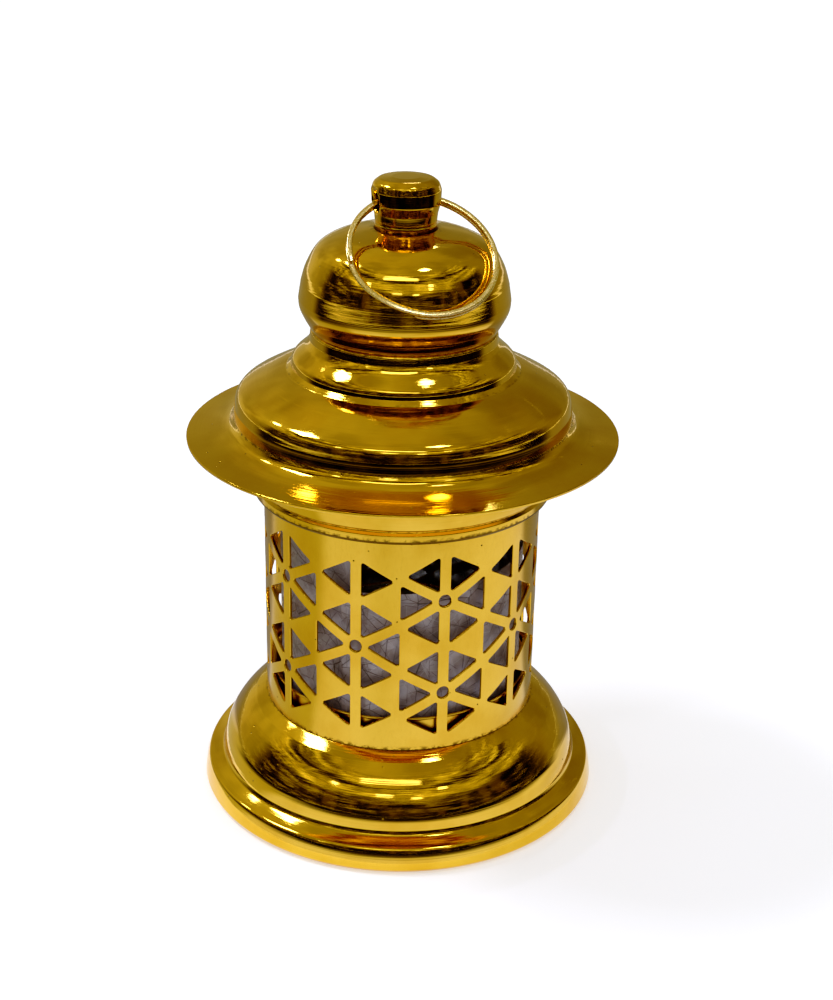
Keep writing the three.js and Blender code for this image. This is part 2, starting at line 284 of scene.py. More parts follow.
def dirt_near(places, width):
    """How much dirt lies at a point of an outline: most at the given places."""
    def amount(r, z):
        nearest = min((math.hypot(r - pr, z - pz) for pr, pz in places), default=1e6)
        return max(0.0, 1.0 - nearest / width)
    return amount


def turned(name, section, darkening=None, steps=TURN_STEPS, wave=None):
    """A section turned about +Z. A section that starts and ends on the axis is closed there."""
    line = list(section)
    if signed_area(line) < 0:
        line.reverse()
    closed = abs(line[0][0]) > 1e-6
    flat = section_normals(line, closed)
    runs = [0.0]
    for a, b in zip(line, line[1:]):
        runs.append(runs[-1] + math.dist(a, b))
    points, normals, run, dirt_and_shade, index = [], [], [], [], {}
    for j, (r, z) in enumerate(line):
        on_axis = r < 1e-6
        for i in range(1 if on_axis else steps):
            angle = 2 * math.pi * i / steps
            here = r + (wave(angle, r, z) if wave else 0.0)
            index[i, j] = len(points)
            points.append((here * math.cos(angle), here * math.sin(angle), z))
            nr, nz = flat[j]
            if on_axis:
                nr, nz = 0.0, math.copysign(1.0, nz)
            normals.append((nr * math.cos(angle), nr * math.sin(angle), nz))
            run.append(runs[j])
            dirt_and_shade.append(darkening(r, z) if darkening else 0.0)
        if on_axis:
            for i in range(steps):
                index[i, j] = index[0, j]
    faces = []
    for j in range(len(line) if closed else len(line) - 1):
        k = (j + 1) % len(line)
        for i, n in pairs(steps):
            corners = [index[i, j], index[n, j], index[n, k], index[i, k]]
            face = [c for c, d in zip(corners, corners[1:] + corners[:1]) if c != d]
            if len(face) > 2:
                faces.append(face)
    use = None if wave else normals
    return new_object(name, points, faces, use, {"run": run, "dirt_and_shade": dirt_and_shade})


def cut_with(obj, cutter, operation="DIFFERENCE", sharp=30.0):
    """Applies a boolean with another object, which is then removed."""
    change = obj.modifiers.new("cut", "BOOLEAN")
    change.operation = operation
    change.solver = "EXACT"
    change.object = cutter
    bpy.context.view_layer.update()
    graph = bpy.context.evaluated_depsgraph_get()
    made = bpy.data.meshes.new_from_object(obj.evaluated_get(graph))
    obj.modifiers.clear()
    obj.data = made
    bpy.data.objects.remove(cutter)
    made.shade_smooth()
    made.set_sharp_from_angle(angle=math.radians(sharp))
    return obj


# ---- material helpers

def new_material(name):
    material = bpy.data.materials.new(name)
    material.use_nodes = True
    tree = material.node_tree
    tree.nodes.clear()
    return material, tree


def add(tree, kind, inputs=None, **settings):
    """A shader node: inputs maps a socket's name or number to a value or to another socket."""
    made = tree.nodes.new("ShaderNode" + kind)
    for key, value in settings.items():
        setattr(made, key, value)
    for key, value in (inputs or {}).items():
        socket = made.inputs[key]
        if isinstance(value, bpy.types.NodeSocket):
            tree.links.new(value, socket)
        else:
            socket.default_value = value
    return made


def maths(tree, operation, first, second=0.0):
    return add(tree, "Math", {0: first, 1: second}, operation=operation).outputs[0]


def times(tree, first, second):
    return maths(tree, "MULTIPLY", first, second)


def vectors(tree, operation, first, second=(0, 0, 0)):
    """Vector maths, of which LENGTH gives a number."""
    made = add(tree, "VectorMath", {0: first, 1: second}, operation=operation)
    return made.outputs["Value" if operation == "LENGTH" else 0]


def split(tree, value, kind="XYZ"):
    """The three parts of a vector, or of a colour if kind is Color."""
    return add(tree, "Separate" + kind, {0: value}).outputs


def joined(tree, x, y, z):
    return add(tree, "CombineXYZ", {0: x, 1: y, 2: z}).outputs[0]


def stored(tree, name):
    """A value that the mesh keeps at its points."""
    return add(tree, "Attribute", attribute_name=name).outputs["Fac"]


def ramp(tree, value, start, end, to_low=0.0, to_high=1.0):
    """A smooth step of a value from start to end."""
    sockets = {"Value": value, "From Min": start, "From Max": end}
    sockets.update({"To Min": to_low, "To Max": to_high})
    made = add(tree, "MapRange", sockets, interpolation_type="SMOOTHSTEP")
    return made.outputs["Result"]


def blend(tree, share, first, second):
    """Mixes two colours."""
    a, b = (c if isinstance(c, bpy.types.NodeSocket) else (*c, 1.0) for c in (first, second))
    return add(tree, "Mix", {"Factor": share, 6: a, 7: b}, data_type="RGBA").outputs[2]


def grain(tree, vector, scale, detail=3.0, roughness=0.55):
    sockets = {"Vector": vector, "Scale": scale, "Detail": detail, "Roughness": roughness}
    return add(tree, "TexNoise", sockets).outputs["Fac"]


def millimetres(tree):
    """The object's own coordinates, in millimetres."""
    place = add(tree, "TexCoord").outputs["Object"]
    return stretched(tree, place, (1 / MM, 1 / MM, 1 / MM))


def stretched(tree, place, scale):
    return vectors(tree, "MULTIPLY", place, scale)


def round_and_along(tree, place, around, along):
    """Coordinates that change slowly round the axis and fast along a turned outline."""
    unit = split(tree, vectors(tree, "NORMALIZE", stretched(tree, place, (1, 1, 0))))
    x, y = (times(tree, part, around) for part in unit[:2])
    return joined(tree, x, y, times(tree, stored(tree, "run"), along))


def specks(tree, place, scale, radius, share):
    """Small scattered spots: 1 in a spot and 0 outside."""
    cells = add(tree, "TexVoronoi", {"Vector": place, "Scale": scale}, feature="F1")
    kept = split(tree, cells.outputs["Color"], "Color")[0]
    spot = ramp(tree, cells.outputs["Distance"], radius * scale, radius * scale * 0.4)
    return times(tree, spot, maths(tree, "GREATER_THAN", kept, 1 - share))


def bumped(tree, height, distance, normal=None):
    sockets = {"Height": height, "Distance": distance * MM}
    if normal:
        sockets["Normal"] = normal
    return add(tree, "Bump", sockets).outputs["Normal"]


def surface(tree, **sockets):
    """The surface shader and the output."""
    named = {key.replace("_", " "): value for key, value in sockets.items()}
    shader = add(tree, "BsdfPrincipled", named)
    add(tree, "OutputMaterial", {"Surface": shader.outputs[0]})


# ---- materials

GOLD = (0.86, 0.53, 0.062)
DEEP_GOLD = (0.70, 0.37, 0.028)
SOIL_AND_SHADE = (0.085, 0.045, 0.012)


def gold_plate(name, polish, ripple, streak, turned_piece=True):
    """Polished gold plate. ripple and streak are the heights, in millimetres, of the slow waves
    and the fine lines that spinning leaves round a turned piece."""
    material, tree = new_material(name)
    place = millimetres(tree)
    if turned_piece:
        slow = round_and_along(tree, place, 0.45, 1.5)
        fine = round_and_along(tree, place, 1.6, 8.5)
    else:
        slow = stretched(tree, place, (0.16, 0.16, 0.11))
        fine = stretched(tree, place, (2.2, 2.2, 0.5))
    waves = grain(tree, slow, 0.9, detail=2.5)
    lines = grain(tree, fine, 1.0, detail=4.0, roughness=0.7)
    cloud = grain(tree, place, 0.09, detail=4.0)
    mottle = grain(tree, place, 0.9, detail=5.0, roughness=0.65)
    # The value stored at the points darkens the gold towards the soil colour. It does so in
    # patches, and fully where the value nears 1. That covers dirt at the joints, and also painted
    # shade under the collar's lip and a thin dark line in its groove.
    dirt_and_shade = stored(tree, "dirt_and_shade")
    dirt_and_shade_mask = times(tree, dirt_and_shade, ramp(tree, mottle, 0.36, 0.60))
    dirt_and_shade_mask = ramp(tree, dirt_and_shade_mask, 0.25, 0.95)
    dirt_and_shade_mask = maths(tree, "MAXIMUM", dirt_and_shade_mask, ramp(tree, dirt_and_shade, 0.86, 0.96))
    spots = specks(tree, place, 0.36, 0.21, 0.45)
    tint = blend(tree, ramp(tree, cloud, 0.35, 0.75, 0.0, 0.55), GOLD, DEEP_GOLD)
    tint = blend(tree, ramp(tree, lines, 0.45, 0.85, 0.0, 0.30), tint, DEEP_GOLD)
    dirt_shade_and_pits = maths(tree, "MAXIMUM", times(tree, dirt_and_shade_mask, 0.85), spots)
    colour = blend(tree, dirt_shade_and_pits, tint, SOIL_AND_SHADE)
    haze = maths(tree, "MULTIPLY_ADD", mottle, 0.05)
    haze.node.inputs[2].default_value = polish - 0.025
    worn = maths(tree, "MULTIPLY_ADD", ramp(tree, lines, 0.5, 0.9), 0.07)
    tree.links.new(haze, worn.node.inputs[2])
    rough = maths(tree, "ADD", worn, times(tree, dirt_shade_and_pits, 0.35))
    normal = bumped(tree, waves, ripple)
    normal = bumped(tree, lines, streak, normal)
    normal = bumped(tree, spots, -0.05, normal)
    surface(tree, Base_Color=colour, Metallic=1.0, Roughness=rough, Normal=normal)
    return material


def ring_gold():
    material, tree = new_material("ring_gold")
    place = millimetres(tree)
    wear = grain(tree, place, 1.4, detail=4.0)
    lines = grain(tree, stretched(tree, place, (3.0, 3.0, 9.0)), 1.0, detail=3.0)
    worn = ramp(tree, wear, 0.40, 0.72, 0.0, 0.6)
    colour = blend(tree, worn, (0.97, 0.76, 0.34), (0.85, 0.54, 0.10))
    rough = ramp(tree, lines, 0.3, 0.8, 0.16, 0.34)
    normal = bumped(tree, lines, 0.006)
    surface(tree, Base_Color=colour, Metallic=1.0, Roughness=rough, Normal=normal)
    return material


def zinc_steel():
    material, tree = new_material("zinc_steel")
    place = millimetres(tree)
    bloom = grain(tree, place, 0.8, detail=5.0)
    lines = grain(tree, stretched(tree, place, (1.5, 1.5, 7.0)), 1.0)
    rust = ramp(tree, grain(tree, place, 0.5, detail=6.0), 0.62, 0.74, 0.0, 0.7)
    colour = blend(tree, bloom, (0.66, 0.64, 0.60), (0.45, 0.44, 0.42))
    colour = blend(tree, rust, colour, (0.26, 0.13, 0.06))
    rough = ramp(tree, bloom, 0.3, 0.7, 0.24, 0.45)
    normal = bumped(tree, lines, 0.01)
    surface(tree, Base_Color=colour, Metallic=1.0, Roughness=rough, Normal=normal)
    return material


def candle_foil():
    material, tree = new_material("candle_foil")
    place = millimetres(tree)
    dents = grain(tree, place, 0.35, detail=3.0)
    lines = grain(tree, stretched(tree, place, (4.0, 4.0, 0.6)), 1.0)
    colour = blend(tree, dents, (0.88, 0.88, 0.89), (0.70, 0.70, 0.71))
    rough = ramp(tree, lines, 0.3, 0.8, 0.16, 0.34)
    normal = bumped(tree, lines, 0.006, bumped(tree, dents, 0.12))
    surface(tree, Base_Color=colour, Metallic=1.0, Roughness=rough, Normal=normal)
    return material


def candle_wax():
    material, tree = new_material("candle_wax")
    place = millimetres(tree)
    mottle = grain(tree, place, 0.45, detail=4.0)
    pores = grain(tree, place, 3.0, detail=2.0)
    colour = blend(tree, mottle, (0.93, 0.90, 0.83), (0.84, 0.80, 0.71))
    rough = ramp(tree, mottle, 0.3, 0.7, 0.42, 0.6)
    normal = bumped(tree, pores, 0.02)
    surface(
        tree, Base_Color=colour, Roughness=rough, Normal=normal, Subsurface_Weight=0.35,
        Subsurface_Radius=(0.004, 0.003, 0.002),
    )
    return material


def wick_cotton():
    material, tree = new_material("wick_cotton")
    place = millimetres(tree)
    fibres = grain(tree, stretched(tree, place, (9.0, 9.0, 2.5)), 1.0, detail=4.0)
    colour = blend(tree, fibres, (0.90, 0.87, 0.79), (0.66, 0.61, 0.50))
    normal = bumped(tree, fibres, 0.05)
    surface(tree, Base_Color=colour, Roughness=0.85, Normal=normal, Sheen_Weight=0.3)
    return material


def star_creases(tree, place, turn, scale, rays, width):
    """Straight creases that radiate from scattered points."""
    turned_place = add(tree, "Mapping", {"Vector": place, "Rotation": (0, 0, turn)}).outputs[0]
    cells = add(tree, "TexVoronoi", {"Vector": turned_place, "Scale": scale}, feature="F1")
    off = vectors(tree, "SUBTRACT", turned_place, cells.outputs["Position"])
    x, y, _ = split(tree, off)
    start = times(tree, split(tree, cells.outputs["Color"], "Color")[0], 6.28)
    wave = maths(tree, "ADD", times(tree, maths(tree, "ARCTAN2", y, x), rays / 2), start)
    beside = maths(tree, "ABSOLUTE", maths(tree, "SINE", wave))
    away = vectors(tree, "LENGTH", off)
    return ramp(tree, times(tree, beside, away), width, width * 0.25)


def fold_lines(tree, place, scale, width):
    """Creases along the borders of large cells."""
    sockets = {"Vector": place, "Scale": scale}
    cells = add(tree, "TexVoronoi", sockets, feature="DISTANCE_TO_EDGE")
    return ramp(tree, cells.outputs["Distance"], width * scale, 0.0)


def mica_sheet():
    """Smoky translucent sheet, crackled by handling."""
    material, tree = new_material("mica_sheet")
    uv = add(tree, "UVMap", uv_map="flat").outputs[0]
    creases = fold_lines(tree, uv, 0.13, 0.13)
    for turn, scale, rays, width in ((0.4, 0.11, 7, 0.30), (1.5, 0.19, 5, 0.22)):
        more = star_creases(tree, uv, turn, scale, rays, width)
        creases = maths(tree, "MAXIMUM", creases, more)
    # Painted highlights: bright lines along a third set of radiating creases.
    glints = star_creases(tree, uv, 2.6, 0.15, 6, 0.20)
    cloud = grain(tree, uv, 0.16, detail=4.0)
    facets = add(tree, "TexVoronoi", {"Vector": uv, "Scale": 0.30}, feature="F1")
    tone = split(tree, facets.outputs["Color"], "Color")[0]
    colour = blend(tree, cloud, (0.50, 0.43, 0.42), (0.29, 0.235, 0.22))
    colour = blend(tree, ramp(tree, tone, 0.2, 0.9, 0.0, 0.45), colour, (0.60, 0.54, 0.55))
    colour = blend(tree, times(tree, glints, 0.6), colour, (0.80, 0.76, 0.74))
    colour = blend(tree, times(tree, creases, 0.78), colour, (0.07, 0.05, 0.045))
    alpha = ramp(tree, cloud, 0.3, 0.8, 0.90, 0.70)
    alpha = maths(tree, "MAXIMUM", alpha, creases)
    rough = ramp(tree, cloud, 0.3, 0.7, 0.22, 0.42)
    tilt = bumped(tree, tone, 0.10)
    normal = bumped(tree, creases, 0.05, tilt)
    surface(
        tree, Base_Color=colour, Roughness=rough, Alpha=alpha, Normal=normal, IOR=1.55,
    )
    return material


# ---- base

def base_shell(material):
    outline = [
        (39.6, 0), (FOOT_RADIUS - 1.0, 0), (FOOT_RADIUS, 1.1), (42.9, 3.6), (42.3, 5.4),
        (40.9, 5.9), (39.2, 6.8),
    ]
    bell = [(38.9, 7.6), (38.5, 9.8), (37.7, 12.1), (36.1, 14.8), (33.9, 17.4), (31.4, 19.5)]
    outline += smooth(bell, 30)
    dish = CUP_FLOOR
    outline += [(29.9, 20.5), (29.0, DECK), (8.8, DECK), (7.8, dish), (1.8, dish)]
    darkening = dirt_near([(29.25, DECK), (8.3, DECK)], 0.5)
    shell = turned("base_shell_spun", sheet_section(eased(outline, BEND), SHEET), darkening)
    return finish_piece(shell, "base", ["base_shell"], material)


# ---- pierced screen

def wheels_of_column(column):
    """Heights of a column's hubs, and the directions of the sectors cut round each."""
    all_round = (0, 60, 120, 180, 240, 300)
    half = WHEEL_HEIGHT / 2
    if column % 2 == 0:
        return [(PATTERN_MIDDLE + half, all_round), (PATTERN_MIDDLE - half, all_round)]
    return [
        (PATTERN_MIDDLE + WHEEL_HEIGHT, (240, 300)),
        (PATTERN_MIDDLE, all_round),
        (PATTERN_MIDDLE - WHEEL_HEIGHT, (60, 120)),
    ]


def sector_hole(hub, direction):
    """A sector as (corner centres, first angle of each corner's arc), unrolled."""
    stretch = 2 * math.pi * SCREEN_RADIUS / COLUMNS / (WHEEL_HEIGHT * math.cos(math.pi / 6))
    reach_out = SECTOR_DEPTH * 2 / 3
    centre = SPOKE + reach_out
    way = math.radians(direction)
    middle = (hub[0] + centre * math.cos(way) * stretch, hub[1] + centre * math.sin(way))
    corner = reach_out - 2 * CORNER_RADIUS
    corners = []
    for angle in (180, 300, 60):
        turn = way + math.radians(angle)
        place = (middle[0] + corner * math.cos(turn), middle[1] + corner * math.sin(turn))
        corners.append((place, turn))
    return corners


def sector_loop(corners, grow):
    """Points round a sector with rounded corners, moved outwards by grow."""
    arc_steps, side_steps = 4, 4
    radius = CORNER_RADIUS + grow
    arcs = []
    for (x, y), turn in corners:
        arc = []
        for k in range(arc_steps + 1):
            angle = turn - math.pi / 3 + 2 * math.pi / 3 * k / arc_steps
            arc.append((x + radius * math.cos(angle), y + radius * math.sin(angle)))
        arcs.append(arc)
    loop = []
    for arc, following in zip(arcs, arcs[1:] + arcs[:1]):
        loop += arc
        start, end = arc[-1], following[0]
        for k in range(1, side_steps):
            share = k / side_steps
            loop.append(tuple(a + (b - a) * share for a, b in zip(start, end)))
    return loop


def hub_loop(hub, grow):
    count = 20
    radius = HUB_RADIUS + grow
    turns = [2 * math.pi * k / count for k in range(count)]
    return [(hub[0] + radius * math.cos(a), hub[1] + radius * math.sin(a)) for a in turns]


def screen_holes():
    """Every hole as a function from how far it grows to its loop, with its shoulder's width."""
    holes = []
    start = math.radians(SEAM_AZIMUTH) * SCREEN_RADIUS
    length = 2 * math.pi * SCREEN_RADIUS
    for column in range(COLUMNS):
        across = 2 * math.pi * SCREEN_RADIUS * (column + 0.5) / COLUMNS
        across = start + (across - start) % length
        for height, sectors in wheels_of_column(column):
            hub = (across, height)
            for direction in sectors:
                corners = sector_hole(hub, direction)
                holes.append((lambda grow, c=corners: sector_loop(c, grow), 0.16))
            if len(sectors) == 6:
                holes.append((lambda grow, h=hub: hub_loop(h, grow), 0.30))
    return holes


def unrolled_screen(holes):
    """Triangles of the unrolled sheet, as (points, triangles, the loop round each hole)."""
    start = math.radians(SEAM_AZIMUTH) * SCREEN_RADIUS + SEAM_SLIT / 2
    end = start + 2 * math.pi * SCREEN_RADIUS - SEAM_SLIT
    points, edges, loops = [], [], []
    across, upright, spacing = 120, 36, 1.45
    rim = [(start + (end - start) * i / across, DECK) for i in range(across)]
    rim += [(end, DECK + (SCREEN_TOP - DECK) * i / upright) for i in range(upright)]
    rim += [(end - (end - start) * i / across, SCREEN_TOP) for i in range(across)]
    rim += [(start, SCREEN_TOP - (SCREEN_TOP - DECK) * i / upright) for i in range(upright)]
    for loop in [rim] + [make(width) for make, width in holes]:
        first = len(points)
        points += loop
        numbers = list(range(first, len(points)))
        edges += list(zip(numbers, numbers[1:] + numbers[:1]))
        loops.append(numbers)
    inner = [p for loop in loops[1:] for p in (points[k] for k in loop)]
    taken = {}
    for x, y in inner:
        taken.setdefault((int(x // spacing), int(y // spacing)), []).append((x, y))
    for i in range(1, int((end - start) / spacing)):
        for j in range(1, int((SCREEN_TOP - DECK) / spacing)):
            x = start + i * spacing
            y = DECK + j * spacing
            cell = (int(x // spacing), int(y // spacing))
            near = [
                p for a in (-1, 0, 1) for b in (-1, 0, 1)
                for p in taken.get((cell[0] + a, cell[1] + b), [])
            ]
            if all(math.dist(p, (x, y)) > 0.7 for p in near):
                points.append((x, y))
    flat = [Vector(p) for p in points]
    made = delaunay_2d_cdt(flat, edges, loops[1:], 0, 1e-7)
    places, _, triangles, sources, _, origins = made
    kept = [t for t, origin in zip(triangles, origins) if not origin]
    numbered = {}
    for new, olds in enumerate(sources):
        for old in olds:
            numbered[old] = new
    return places, kept, [[numbered[k] for k in loop] for loop in loops]


def rolled(x, z, depth):
    """A point of the unrolled screen, at a depth below its outer face."""
    angle = x / SCREEN_RADIUS
    radius = SCREEN_RADIUS - depth
    return (radius * math.sin(angle), -radius * math.cos(angle), z)


def rolled_direction(x, across, up, out):
    angle = x / SCREEN_RADIUS
    along = Vector((math.cos(angle), math.sin(angle), 0))
    away = Vector((math.sin(angle), -math.cos(angle), 0))
    return (along * across + Vector((0, 0, up)) + away * out).normalized()


def pierced_screen(material):
    """The rolled sheet with its cut sectors, each edge rounded over towards the outside."""
    holes = screen_holes()
    places, triangles, loops = unrolled_screen(holes)
    points, normals, run, dirt_and_shade, faces = [], [], [], [], []

    def put(x, z, depth, normal, darkening=0.0):
        points.append(rolled(x, z, depth))
        normals.append(normal)
        run.append(z)
        foot = max(0.0, 1 - (z - DECK) / 0.45)
        dirt_and_shade.append(max(darkening, foot))
        return len(points) - 1

    outer = [put(p.x, p.y, 0.0, rolled_direction(p.x, 0, 0, 1)) for p in places]
    inner = [put(p.x, p.y, SHEET, rolled_direction(p.x, 0, 0, -1)) for p in places]
    for a, b, c in triangles:
        faces.append((outer[a], outer[b], outer[c]))
        faces.append((inner[c], inner[b], inner[a]))
    rim = loops[0]
    for a, b in zip(rim, rim[1:] + rim[:1]):
        faces.append((outer[b], outer[a], inner[a], inner[b]))
    for (make, width), loop in zip(holes, loops[1:]):
        # (how far outside the cut, depth, share of the normal that faces into the hole)
        steps = [(0.45 * width, 0.035, 0.35), (0.10 * width, 0.11, 0.75), (0.0, 0.2, 1.0)]
        steps += [(0.0, SHEET - 0.1, 1.0), (0.4 * width, SHEET - 0.03, 0.6)]
        rings = [[outer[k] for k in loop]]
        for grow, depth, share in steps:
            line = make(grow)
            ring = []
            for i, (x, z) in enumerate(line):
                ahead = Vector(line[(i + 1) % len(line)]) - Vector(line[i - 1])
                into = Vector((-ahead.y, ahead.x)).normalized() * share
                out = math.sqrt(max(0.0, 1 - share * share))
                out = out if depth < SHEET / 2 else -out
                facing = rolled_direction(x, into.x, into.y, out)
                ring.append(put(x, z, depth, facing, 0.25))
            rings.append(ring)
        rings.append([inner[k] for k in loop])
        for upper, lower in zip(rings, rings[1:]):
            faces += [(upper[i], upper[n], lower[n], lower[i]) for i, n in pairs(len(upper))]
    values = {"run": run, "dirt_and_shade": dirt_and_shade}
    screen = new_object("pierced_screen_rolled", points, faces, normals, values)
    return finish_piece(screen, "base", ["pierced_screen"], material)


def seam_strip(material):
    """Flat strip soldered behind the screen's butted edges, with eased long edges."""
    corner, far_corner = (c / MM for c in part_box("screen_seam_strip"))
    half_x, half_y, _ = (far_corner - corner) / 2
    middle = (corner.y + far_corner.y) / 2
    shape = rounded_box(half_x, half_y, 0.18)
    rows = 60
    heights = [corner.z + (far_corner.z - corner.z) * j / rows for j in range(rows + 1)]
    points = [(x, middle + y, z) for z in heights for x, y in shape]
    near_edge = [0.8 if abs(x) > half_x - 0.5 else 0.1 for x, _, _ in points]
    values = {"run": [z for _, _, z in points], "dirt_and_shade": near_edge}
    strip = new_object("seam_strip", points, tube(0, rows, len(shape)), None, values)
    strip.data.set_sharp_from_angle(angle=math.radians(40))
    return finish_piece(strip, "base", ["screen_seam_strip"], material)


# ---- candle cup and liner

def candle_cup(material):
    radius = reach("candle_cup") - 0.55
    outline = [
        (1.8, CUP_FLOOR), (7.1, CUP_FLOOR), (8.1, DECK), (radius - 0.7, DECK),
        (radius, DECK + 0.8), (radius, CUP_RIM - 0.7), (radius + 0.55, CUP_RIM - 0.4),
        (radius + 0.45, CUP_RIM),
    ]
    section = sheet_section(eased(outline, 0.7), THIN_SHEET)
    cup = turned("candle_cup_pressed", section, dirt_near([(radius, DECK + 0.6)], 2.0))
    return finish_piece(cup, "base", ["candle_cup"], material)


def mica_liner(material):
    """A strip rolled into a tube with lapped ends, crinkled a little, its top edge rising."""
    seam, lap = math.radians(-27), math.radians(8)
    tall = high("mica_liner")
    across, upright = 300, 36
    points, flat_places = [], []
    for side in (0, 1):
        for i in range(across + 1):
            share = i / across
            angle = seam + share * (2 * math.pi + lap)
            top = LINER_SHORT + (tall - LINER_SHORT) * share
            for j in range(upright + 1):
                z = LINER_LOW + (top - LINER_LOW) * j / upright
                run = share * 2 * math.pi * LINER_RADIUS
                crinkle = noise.noise(Vector((run * 0.22, z * 0.22, 3.7))) * 0.10
                crinkle += noise.noise(Vector((run * 0.55, z * 0.5, 9.1))) * 0.04
                edge_hold = min(1.0, 8 * share, 8 * (1 - share))
                here = LINER_RADIUS - LINER_CREEP * share - 0.06 + crinkle * edge_hold * 0.6
                here -= side * LINER_SHEET
                points.append((here * math.sin(angle), -here * math.cos(angle), z))
                flat_places.append((run, z))
    rows = upright + 1
    back = (across + 1) * rows
    faces = []
    for i in range(across):
        for j in range(upright):
            a, b = i * rows + j, (i + 1) * rows + j
            faces.append((a, b, b + 1, a + 1))
            faces.append((back + a + 1, back + b + 1, back + b, back + a))
        a, b = i * rows, (i + 1) * rows
        faces.append((back + a, back + b, b, a))
        a, b = a + upright, b + upright
        faces.append((a, b, back + b, back + a))
    for j in range(upright):
        faces.append((j, j + 1, back + j + 1, back + j))
        a = across * rows + j
        faces.append((back + a, back + a + 1, a + 1, a))
    liner = new_object("mica_liner_sheet", points, faces)
    layer = liner.data.uv_layers.new(name="flat")
    for loop in liner.data.loops:
        layer.data[loop.index].uv = flat_places[loop.vertex_index]
    liner.data.set_sharp_from_angle(angle=math.radians(50))
    return finish_piece(liner, "base", ["mica_liner"], material)


# ---- fasteners

def screw(name, head_outline, radius, pitch, start, end, direction):
    """A turned head and a shank with a real helical thread; direction +1 is head up."""
    steps, rows_per_turn = 48, 10
    depth = 0.61 * pitch
    points = []

    def ring(radius_at, z):
        for i in range(steps):
            angle = 2 * math.pi * i / steps
            r = radius_at(angle)
            points.append((r * math.cos(angle), r * math.sin(angle), z))

    for r, z in head_outline:
        ring(lambda angle, r=r: r, z)
    rows = int(abs(end - start) / pitch * rows_per_turn)
    for k in range(rows + 1):
        z = start + (end - start) * k / rows
        ends = min(1.0, 16 * k / rows, 12 * (rows - k) / rows)

        def thread(angle, z=z, ends=ends):
            phase = (z / pitch - direction * angle / (2 * math.pi)) % 1.0
            return radius - depth * (1 - abs(2 * phase - 1)) * ends

        ring(thread, z)
    ring(lambda angle: radius * 0.6, end - direction * 0.3)
    faces = tube(0, len(points) // steps - 1, steps, flip=direction > 0)
    made = new_object(name, points, faces)
    made.data.set_sharp_from_angle(angle=math.radians(35))
    return made


def pan_head(radius, height, shank, seat, direction):
    """Outline of a pan head from its top's edge to the shank, by ring."""
    outline = []
    top = seat + direction * height
    for r, drop in ((0.45, 0.0), (0.70, 0.04), (0.86, 0.14), (0.96, 0.32), (1.0, 0.55)):
        outline.append((radius * r, top - direction * height * drop))
    outline += [(radius, seat + direction * 0.08), (radius - 0.08, seat), (shank, seat)]
    return outline


def cross_cutter(size, depth, top, direction):
    """Tapered cross for a driver, sunk from the head's top."""
    arm, thin = size, size * 0.28
    sunk = top - direction * depth
    over = top + direction * 0.4
    outline = []
    for k in range(4):
        turn = math.radians(90 * k)
        for x, y in ((arm, -thin), (arm, thin), (thin, thin)):
            cos, sin = math.cos(turn), math.sin(turn)
            outline.append((x * cos - y * sin, x * sin + y * cos))
    points = [(x, y, over) for x, y in outline] + [(x * 0.5, y * 0.5, sunk) for x, y in outline]
    count = len(outline)
    faces = [tuple(range(count)), tuple(reversed(range(count, 2 * count)))]
    faces += [(i, count + i, count + n, n) for i, n in pairs(count)]
    if direction < 0:
        faces = [f[::-1] for f in faces]
    return new_object("cross_cutter", points, faces)


def fasteners(material):
    """The cup's screw, washer and nut, and the hood's screw and washer."""
    for node, size, body, way, wide, tall, shank, pitch, cross, sunk in (
        ("cup_screw", "_m3", "base", 1, 2.8, 1.4, 1.45, 0.5, 1.5, 0.9),
        ("hood_screw", "_m4", "hood", -1, 3.8, 2.4, 1.95, 0.7, 2.1, 1.4),
    ):
        top, tip = (high(node), low(node))[::way]
        seat = top - way * tall
        head = pan_head(wide, tall, shank, seat, way)
        made = screw(node + size, head, shank, pitch, seat - way * 0.2, tip + way * 0.3, way)
        cut_with(made, cross_cutter(cross, sunk, top, way))
        finish_piece(made, body, [node], material)

    for node, body, bore in (("cup_washer", "base", 1.6), ("hood_washer", "hood", 2.2)):
        rim = reach(node)
        section = [(bore, low(node)), (rim, low(node)), (rim, high(node)), (bore, high(node))]
        section = eased(section, 0.14, closed=True, steps=4)
        plate = turned(node + "_punched", section, steps=96)
        finish_piece(plate, body, [node], material)
    hexagon_nut(material)


def hexagon_nut(material):
    """A chamfered disc with a bore, cut to a hexagon."""
    flats, bore, mouth, chamfer = 5.5, 1.55, 1.9, 0.35
    bottom, top = low("cup_nut"), high("cup_nut")
    corner = flats / 2 / math.cos(math.pi / 6)
    lower = [(bore, chamfer), (mouth, 0), (corner - 0.5, 0), (corner + 0.05, chamfer)]
    section = [(r, bottom + z) for r, z in lower] + [(r, top - z) for r, z in lower[::-1]]
    nut = turned("cup_nut_m3", section, steps=96)
    points = []
    for z in (bottom - 1, top + 1):
        for k in range(6):
            angle = math.radians(60 * k)
            points.append((corner * math.cos(angle), corner * math.sin(angle), z))
    cut_with(nut, new_object("prism", points, tube(0, 1, 6)), "INTERSECT", sharp=25)
    finish_piece(nut, "base", ["cup_nut"], material)


# ---- hood

